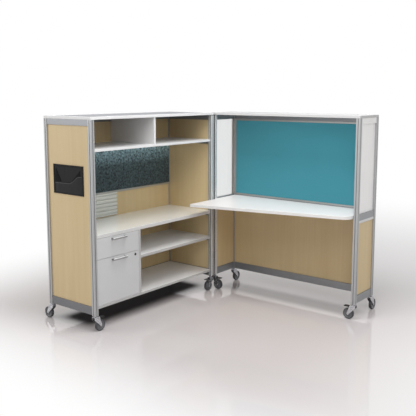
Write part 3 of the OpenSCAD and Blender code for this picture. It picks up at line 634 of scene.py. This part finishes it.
# %% [markdown]
# ## The desk and the worktop
# Both are white on their flat faces and have a grey band glued round their edges. The band
# could be a strip of its own, but it is flush with the board. So it is the same solid with
# another finish on the faces that look sideways, and the bevel stays with the laminate.

# %% Desk and worktop
sideways = 0.3  # share of a normal upwards, below which the face looks sideways


def on_edge(face):
    return 1 if abs(face.normal.z) < sideways else 0


dress("desk_surface", 0.0012, [desk_white, edge_band], on_edge)
dress("storage_worktop", 0.0012, [gloss_white, worktop_edge], on_edge)
print("desk and worktop made")

# %% [markdown]
# ## Shelf, deck and drawer sides
# These boards are white all round, apart from the edge that looks out of the unit, which has
# a grey band. That edge faces along X, because the storage unit opens in that direction.

# %% Shelf, deck and drawer sides
def on_front(face):
    return 1 if face.normal.x > facing else 0


for node in ("storage_deck", "middle_shelf", "pedestal_sides"):
    dress(node, 0.001, [satin_white, grey_edge], on_front)
print("shelf, deck and drawer sides made")

# %% [markdown]
# ## The side screens and the rails
# The model keeps both screens in one piece and all the rails of a unit in another, as they
# are fitted together. Splitting them would change the list of pieces, so each face takes its
# finish by where it lies: the right screen, the low rails of the storage unit with painted
# shade, the lighter channel under the desk's middle rail, and the top rail at the desk unit's
# right end, made white by a painted highlight.

# %% Screens and rails
screens_middle = hinge.x + unit_width / 2
low_rails_below = 0.3
channel_low, channel_high = 0.6865, 0.7049
# Past these points the desk unit's right top rail takes the white finish, a painted highlight.
highlight_rail_x = desk_frame.translation.x + unit_width - 0.04
highlight_rail_z = 1.37


def screen_side(face):
    return 1 if face.calc_center_median().x > screens_middle else 0


def rail_level(face):
    return 1 if face.calc_center_median().z < low_rails_below else 0


def desk_rail_place(face):
    middle = face.calc_center_median()
    if channel_low < middle.z < channel_high:
        return 1
    return 2 if middle.z > highlight_rail_z and middle.x > highlight_rail_x else 0


dress("desk_side_screens", 0.0005, [lit_screen, far_screen], screen_side)
# The low rails take the darker copy of the metal, painted shade.
dress("storage_rails", 0.0008, [rail_metal, low_rail_shade_metal], rail_level)
dress("desk_rails", 0.0008, [rail_metal, channel_metal, painted_highlight_rail], desk_rail_place)
print("screens and rails made")

# %% [markdown]
# ## Handles
# Each drawer has a bridge handle: a flat bar whose top catches the light, shown by a painted
# highlight, on two darker legs.
# The bar and the legs are separate bmesh boxes inside the model's own outline. The bar gets
# much rounder edges than the legs, so that light runs along it.

# %% Drawer handles
bar_depth, bar_radius = 0.008, 0.0038
leg_width, leg_inset, leg_radius = 0.010, 0.002, 0.001
top_faces = 0.2  # share of a normal upwards, above which a face of the bar is its top


def add_box(mesh, low, high):
    """A box between two corners."""
    low, high = Vector(low), Vector(high)
    place = Matrix.Translation((low + high) / 2)
    bmesh.ops.create_cube(mesh, size=1, matrix=place @ Matrix.Diagonal((*(high - low), 1)))


for name in ("box_drawer_handle", "file_drawer_handle"):
    low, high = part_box(name)
    bar = bmesh.new()
    add_box(bar, (high.x - bar_depth, low.y, low.z), high)
    ease_edges(bar, bar_radius, segments=4)
    for face in bar.faces:
        # Top faces take the paler finish, a painted highlight.
        face.material_index = 1 if face.normal.z > top_faces else 0
    add_piece(bar, name + "_bar", [handle_metal, bar_highlight_metal], body_of(name),
              [name])
    legs = bmesh.new()
    for y in (low.y + leg_inset, high.y - leg_inset - leg_width):
        add_box(legs, (low.x, y, low.z + leg_inset),
                (high.x - bar_depth, y + leg_width, high.z - leg_inset))
    ease_edges(legs, leg_radius)
    add_piece(legs, name + "_legs", [leg_metal], body_of(name))
print("handles made, the last bar", round((high.y - low.y) * 1000), "mm long")

# %% [markdown]
# ## Wheels
# A caster wheel is round in every part: a soft tread on a smoky core with a hub in its
# middle. Cylinders could be stacked, but a profile that is spun about the axle has the
# dished faces and the rounded shoulders of the real wheel in one go. Half of each outline is
# written down as points of (radius, height), and the other half is its mirror image.

# %% Spinning a profile
def spun(profile, centre, axis, steps=48):
    """Turns a closed outline of (radius, height) points about an axis through centre."""
    mesh = bmesh.new()
    points = [mesh.verts.new((radius, 0, height)) for radius, height in profile]
    edges = [mesh.edges.new((points[i], points[(i + 1) % len(points)]))
             for i in range(len(points))]
    bmesh.ops.spin(mesh, geom=points + edges, cent=(0, 0, 0), axis=(0, 0, 1), dvec=(0, 0, 0),
                   angle=math.tau, steps=steps, use_merge=True, use_duplicate=False)
    bmesh.ops.remove_doubles(mesh, verts=mesh.verts, dist=0.00001)
    bmesh.ops.recalc_face_normals(mesh, faces=mesh.faces)
    turn = Vector(axis).to_track_quat("Z", "Y").to_matrix().to_4x4()
    bmesh.ops.transform(mesh, matrix=Matrix.Translation(centre) @ turn, verts=mesh.verts)
    return mesh


def mirrored(half):
    """An outline from its lower half; a point at height 0 is kept once."""
    return half + [(radius, -height) for radius, height in reversed(half) if height]


print("helpers for spinning ready")

# %% Wheels
tread_half = [(0.0325, -0.0100), (0.0360, -0.0110), (0.0385, -0.0095), (0.0398, -0.0050),
              (0.0400, 0.0)]
core_half = [(0.0095, -0.0090), (0.0110, -0.0085), (0.0125, -0.0060), (0.0260, -0.0055),
             (0.0290, -0.0085), (0.0325, -0.0098)]
boss_half = [(0.0031, -0.0110), (0.0075, -0.0110), (0.0090, -0.0100), (0.0095, -0.0085)]
wheel_parts = {"tread": (tread_half, tread_rubber, 64), "core": (core_half, core_plastic, 64),
               "boss": (boss_half, boss_plastic, 32)}
wheel_nodes = [node for node in frame["nodes"] if node.endswith("_wheel")]
for node in wheel_nodes:
    joint = joints[node.replace("_wheel", "_spin")]
    for part, (half, finish, steps) in wheel_parts.items():
        wheel = spun(mirrored(half), joint["pos_m"], joint["axis"], steps)
        replaced = [node] if part == "tread" else []
        add_piece(wheel, f"{node}_{part}", [finish], body_of(node), replaced)
print(len(wheel_nodes), "wheels made")

# %% [markdown]
# ## Forks and races
# A bent steel fork carries each wheel and turns in the post. Its shape is in the model and
# only needs rounded edges. Above it sits the race, a flat ring with a rounded rim in which
# the balls run, and that is one more profile to spin, about the swivel's axis.

# %% Forks and races
race_profile = [(0.0082, 0.0), (0.0138, 0.0), (0.0146, 0.0006), (0.0146, 0.0018),
                (0.0130, 0.0026), (0.0082, 0.0026)]
race_height = 0.104
fork_nodes = [node for node in frame["nodes"] if node.endswith("_fork")]
for node in fork_nodes:
    dress(node, 0.0005, [zinc])
    stem = joints[node.replace("_fork", "_swivel")]["pos_m"]
    race = spun(race_profile, (stem[0], stem[1], race_height), (0, 0, 1))
    add_piece(race, node + "_race", [zinc], body_of(node))
print(len(fork_nodes), "forks made")

# %% [markdown]
# ## Brake pedals
# The front casters have a black plastic pedal that a foot presses. A moulded part has
# rounder edges than sheet metal, so its bevel is wider and has one more segment.

# %% Brake pedals
pedal_nodes = [node for node in frame["nodes"] if node.endswith("_pedal")]
for node in pedal_nodes:
    dress(node, 0.0009, [pedal_plastic], segments=3)
print(len(pedal_nodes), "pedals made")

# %% [markdown]
# ## The document pocket
# A black pocket of coated cloth hangs on the storage unit's outer end. It has a flat back
# with a bound edge, and a low front that stands away at its mouth and rises at one end. A
# cloth simulation would find folds of its own. These have to stay where they are seen, so
# each part is a thin sheet from a grid whose points are moved by a short formula.

# %% Sheets from grids
pocket_low, pocket_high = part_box("document_pocket")
pocket_width = pocket_high.x - pocket_low.x
pocket_height = pocket_high.z - pocket_low.z


def pocket_point(across, up, out):
    """A point of the pocket from shares of its width and height and a distance outwards."""
    return Vector((pocket_low.x + across * pocket_width, pocket_high.y - out,
                   pocket_low.z + up * pocket_height))


def pocket_sheet(columns, rows, place, thickness):
    """A sheet from a grid whose points are put where place(across, up) says."""
    mesh = bmesh.new()
    bmesh.ops.create_grid(mesh, x_segments=columns, y_segments=rows, size=0.5)
    for vert in mesh.verts:
        vert.co = place(vert.co.x + 0.5, vert.co.y + 0.5)
    bmesh.ops.recalc_face_normals(mesh, faces=mesh.faces)
    bmesh.ops.solidify(mesh, geom=mesh.faces[:], thickness=thickness)
    bmesh.ops.recalc_face_normals(mesh, faces=mesh.faces)
    return mesh


def smooth_step(value, low, high):
    share = min(max((value - low) / (high - low), 0), 1)
    return share * share * (3 - 2 * share)


print("pocket", round(pocket_width, 3), "wide and", round(pocket_height, 3), "high")

# %% The pocket's back and front
back_out, back_swell = 0.003, 0.0015
crease_depth, crease_at, crease_width = 0.0012, 0.42, 0.03
mouth_height, mouth_bow, mouth_rise = 0.36, 0.02, 0.27
rise_starts, rise_ends = 0.56, 0.93
front_foot, front_side = 0.045, 0.05
front_out, front_bulge, front_sag = 0.004, 0.0062, 0.0015
bulge_at_foot = 0.35


def back_place(across, up):
    """Nearly flat, thinner at its edges, with a faint crease near its top."""
    offset = (across - crease_at) / crease_width
    crease = crease_depth * math.exp(-offset ** 2) * smooth_step(up, 0.5, 0.9)
    edge = min(across, 1 - across, up, 1 - up)
    return pocket_point(across, up, back_out + back_swell * smooth_step(edge, 0.0, 0.1) - crease)


def front_top(across):
    """Height of the front's upper edge: level, then rising towards the far side."""
    return (mouth_height + mouth_bow * math.sin(across * math.pi)
            + mouth_rise * smooth_step(across, rise_starts, rise_ends))


def front_place(across, up):
    """Held at its foot and ends, standing away in between and most at the mouth."""
    height = front_foot + up * (front_top(across) - front_foot)
    ends = min(across, 1 - across)
    upwards = bulge_at_foot + (1 - bulge_at_foot) * smooth_step(up, 0.0, 0.9)
    bulge = smooth_step(ends, 0.0, 0.16) * upwards
    sag = front_sag * math.sin(across * 9 + up * 4) * up
    return pocket_point(front_side + across * (1 - 2 * front_side), height,
                        front_out + front_bulge * bulge + sag * bulge)


print("mouth of the pocket between", round(front_top(0), 2), "and", round(front_top(1), 2))

# %% [markdown]
# ## Lip, gussets and binding
# The front's upper edge is turned over into a narrow lip that catches the light; its paler
# cloth is a painted highlight. At both ends a gusset folds inwards between the back and the
# front, near black with painted shade. A band is sewn round the back, and since it is
# straight and even, four boxes with round edges are enough.

# %% Lip and gussets
lip_roll, lip_height = 0.0012, 0.004
gusset_out, gusset_swell, gusset_narrowing = 0.0056, 0.0008, 0.97


def lip_place(across, up):
    roll = -lip_roll * math.sin(up * math.pi)
    return front_place(across, 1.0) + Vector((0, roll, (up - 0.5) * lip_height))


def gusset_place(first, second, third):
    """A folded side of the pocket: a sheet over the triangle between three points."""
    def place(across, up):
        far = [a + (b - a) * across for a, b in zip(first, second)]
        narrow = 1 - gusset_narrowing * across
        flat = [a + (c - b) * up * narrow for a, b, c in zip(far, first, third)]
        return pocket_point(*flat, gusset_out + gusset_swell * math.sin(up * math.pi) * narrow)
    return place


near_gusset = gusset_place((0.07, 0.41), (0.09, 0.86), (0.27, 0.42))
far_gusset = gusset_place((0.91, 0.66), (0.90, 0.84), (0.62, 0.45))
pocket_sheets = {  # columns, rows, place, thickness and cloth
    "pocket_back": (40, 30, back_place, 0.002, pocket_back_cloth),
    "pocket_front": (48, 24, front_place, 0.0014, pocket_cloth),
    "pocket_lip": (48, 4, lip_place, 0.0012, lip_highlight_cloth),
    "pocket_near_gusset": (12, 8, near_gusset, 0.0008, gusset_shade_cloth),
    "pocket_far_gusset": (12, 8, far_gusset, 0.0008, gusset_shade_cloth),
}
for name, (columns, rows, place, thickness, cloth) in pocket_sheets.items():
    sheet = pocket_sheet(columns, rows, place, thickness)
    replaced = ["document_pocket"] if name == "pocket_back" else []
    add_piece(sheet, name, [cloth], "storage_unit", replaced, sharp=60)
print(len(pocket_sheets), "sheets of the pocket made")

# %% Binding
band = 0.013
band_in, band_out, band_radius = 0.0005, 0.0062, 0.0016
side, rim = band / pocket_width, band / pocket_height
binding = bmesh.new()
for left, bottom, right, top in ((0, 0, 1, rim), (0, 1 - rim, 1, 1),
                                 (0, rim, side, 1 - rim), (1 - side, rim, 1, 1 - rim)):
    add_box(binding, pocket_point(left, bottom, band_out), pocket_point(right, top, band_in))
ease_edges(binding, band_radius, segments=3)
add_piece(binding, "pocket_binding", [binding_cloth], "storage_unit")
print("binding made")

# %% [markdown]
# ## The floor
# The photograph shows a glossy pale floor: a grey pool round the workstation that fades into
# white, a dark place under each unit, and hardly any shine under the storage unit. Lamps
# placed for such soft shadows would also change the light on the pieces. So the floor's own
# colour carries the pool and the shadows, drawn as soft boxes on floor coordinates.

# %% Soft boxes on the floor
def smooth_range(material, value, low, high, out_low, out_high):
    """A range with soft ends, as the border of a shadow has."""
    return map_range(material, value, low, high, out_low, out_high, "SMOOTHSTEP")


def from_point(material, point):
    """Floor coordinates measured from a point."""
    mapping = add_node(material, "ShaderNodeMapping", vector_type="TEXTURE")
    mapping.inputs["Location"].default_value = (point[0], point[1], 0)
    connect(material, own_place(material), mapping.inputs["Vector"])
    return mapping.outputs["Vector"]


def box_shadow(material, low, high, soft, dark):
    """A share of light left on the floor under a cabinet: dark inside, one outside."""
    away = add_node(material, "ShaderNodeVectorMath", operation="ABSOLUTE")
    connect(material, from_point(material, (low + high) / 2), away.inputs[0])
    sides = components(material, away.outputs["Vector"])
    shares = [smooth_range(material, sides[name], half - soft, half + soft, 1, 0)
              for name, half in zip("XY", (high - low) / 2)]
    return smooth_range(material, combine(material, "MULTIPLY", *shares), 0, 1, 1, dark)


print("helpers for the floor ready")

# %% The floor's mesh
floor_reach = 14
floor_mesh = bmesh.new()
bmesh.ops.create_grid(floor_mesh, x_segments=1, y_segments=1, size=floor_reach)
floor_data = bpy.data.meshes.new("floor")
floor_mesh.to_mesh(floor_data)
floor_mesh.free()
floor = bpy.data.objects.new("floor", floor_data)
bpy.context.scene.collection.objects.link(floor)
floor_finish, floor_shader = new_finish("studio_floor", linear(222, 216, 216), 0.06)
floor_data.materials.append(floor_finish)
vary_roughness(floor_finish, floor_shader, noise(floor_finish, (2, 2, 2)), low=0.04, high=0.08)
print("floor", 2 * floor_reach, "metres wide")

# %% Pool and shadows
# The grey pool is painted shade round the workstation. Its sides, from the hinge axis: where it
# starts to fade and where it has gone.
pool_sides = {"X": ((-0.7, -2.3), (1.1, 3.1)), "Y": ((-1.17, -2.15), (0.0, 5.6))}
outer_tone, pool_shade_tone = linear(222, 217, 217), linear(212, 206, 206)
floor_gloss = 0.5
no_gloss_below = 0.07  # share of light at which the floor in a shadow has lost its shine
from_hinge = components(floor_finish, from_point(floor_finish, hinge))
pool = None
for name, sides in pool_sides.items():
    for kept, gone in sides:
        share = smooth_range(floor_finish, from_hinge[name], kept, gone, 1, 0)
        pool = combine(floor_finish, "MULTIPLY", pool, share) if pool else share
floor_tone = ramp(floor_finish, pool, [(0.0, outer_tone), (1.0, pool_shade_tone)])

# The corners of each shadow are drawn in the frame of the unit that casts it.
storage_shadow = box_shadow(floor_finish, storage_frame @ Vector((0.06, 0.44, 0)),
                            storage_frame @ Vector((1.31, 0.13, 0)), soft=0.09, dark=0.09)
desk_shadow = box_shadow(floor_finish, desk_frame @ Vector((0.03, 0.06, 0)),
                         desk_frame @ Vector((1.24, 0.25, 0)), soft=0.08, dark=0.5)
for share in (storage_shadow, desk_shadow):
    floor_tone = blend_colors(floor_finish, 1.0, floor_tone, share, "MULTIPLY")
connect(floor_finish, floor_tone, floor_shader.inputs["Base Color"])
shine = smooth_range(floor_finish, storage_shadow, no_gloss_below, 1.0, 0.0, floor_gloss)
connect(floor_finish, shine, floor_shader.inputs["Specular IOR Level"])
print("pool and two shadows drawn")

# %% [markdown]
# ## From floor to backdrop
# Away from the workstation the floor turns into the white backdrop. More light there would
# also fall on the pieces, so the white is an emission that only the camera and reflections
# see, and every other ray finds the plain floor.

# %% Fading into white
white = add_node(floor_finish, "ShaderNodeEmission")
path = add_node(floor_finish, "ShaderNodeLightPath")
looked_at = combine(floor_finish, "MAXIMUM", path.outputs["Is Camera Ray"],
                    path.outputs["Is Glossy Ray"])
outside_pool = map_range(floor_finish, pool, 0.0, 1.0, 1.0, 0.0)
backdrop_mix = add_node(floor_finish, "ShaderNodeMixShader")
connect(floor_finish, combine(floor_finish, "MULTIPLY", outside_pool, looked_at),
        backdrop_mix.inputs["Fac"])
connect(floor_finish, floor_shader.outputs["BSDF"], backdrop_mix.inputs[1])
connect(floor_finish, white.outputs["Emission"], backdrop_mix.inputs[2])
surface = floor_finish.node_tree.nodes["Material Output"].inputs["Surface"]
connect(floor_finish, backdrop_mix.outputs["Shader"], surface)
print("floor fades into white")

# %% [markdown]
# ## Lamps
# The photograph was lit softly from all round. Broad lamps above, in front and at both ends
# do the same, with a smaller one that lifts the desk. They stay low, so that each colour
# renders about as it is written. A glossy floor would show the lamps as white patches, so
# they are hidden from mirror rays, apart from the left one, whose soft reflection brightens
# the end panel and the top.

# %% Lamps
def add_lamp(name, place, aim, size, watts, mirrored_too=False):
    """A broad lamp turned to its aim; mirrored_too lets glossy surfaces show it."""
    data = bpy.data.lights.new(name, "AREA")
    data.shape = "RECTANGLE"
    data.size, data.size_y = size
    data.energy = watts
    lamp = bpy.data.objects.new(name, data)
    lamp.location = place
    lamp.rotation_euler = (Vector(aim) - Vector(place)).to_track_quat("-Z", "Y").to_euler()
    lamp.visible_glossy = mirrored_too
    bpy.context.scene.collection.objects.link(lamp)


add_lamp("front_lamp", (2.6, -3.0, 3.8), (0, 0.2, 0.8), (2.4, 1.8), 53)
add_lamp("left_lamp", (-3.4, -3.6, 2.6), (-0.4, 0, 0.7), (2.4, 2.4), 54, mirrored_too=True)
add_lamp("top_lamp", (0.4, -0.6, 4.6), (0, 0, 0), (3.6, 3.6), 14)
add_lamp("right_lamp", (4.2, -0.6, 2.6), (0.2, 0.2, 1.0), (1.6, 1.6), 20)
add_lamp("desk_lamp", (0.6, -0.5, 3.2), (0.3, 0.1, 0.7), (1.4, 1.0), 44)
print(len(bpy.data.lights), "lamps,", round(sum(lamp.energy for lamp in bpy.data.lights)), "W")

# %% [markdown]
# ## The white surround
# A studio's white walls give an even fill of light. The world does this with one background
# for light and a brighter one for what is seen directly, in a reflection or through a sheet,
# so that the picture's ground is pure white and the pieces don't bleach.

# %% World
fill_strength, seen_strength = 0.41, 1.0
world = bpy.data.worlds.new("studio")
bpy.context.scene.world = world
world.use_nodes = True
world.node_tree.nodes.clear()
path = add_node(world, "ShaderNodeLightPath")
seen = combine(world, "MAXIMUM", path.outputs["Is Camera Ray"], path.outputs["Is Glossy Ray"])
seen = combine(world, "MAXIMUM", seen, path.outputs["Is Transmission Ray"])
either = add_node(world, "ShaderNodeMixShader")
connect(world, seen, either.inputs["Fac"])
for socket, strength in ((1, fill_strength), (2, seen_strength)):
    background = add_node(world, "ShaderNodeBackground")
    background.inputs["Color"].default_value = (1, 1, 1, 1)
    background.inputs["Strength"].default_value = strength
    connect(world, background.outputs["Background"], either.inputs[socket])
out = add_node(world, "ShaderNodeOutputWorld")
connect(world, either.outputs["Shader"], out.inputs["Surface"])
bpy.context.scene.view_settings.view_transform = "Standard"
print("studio made")
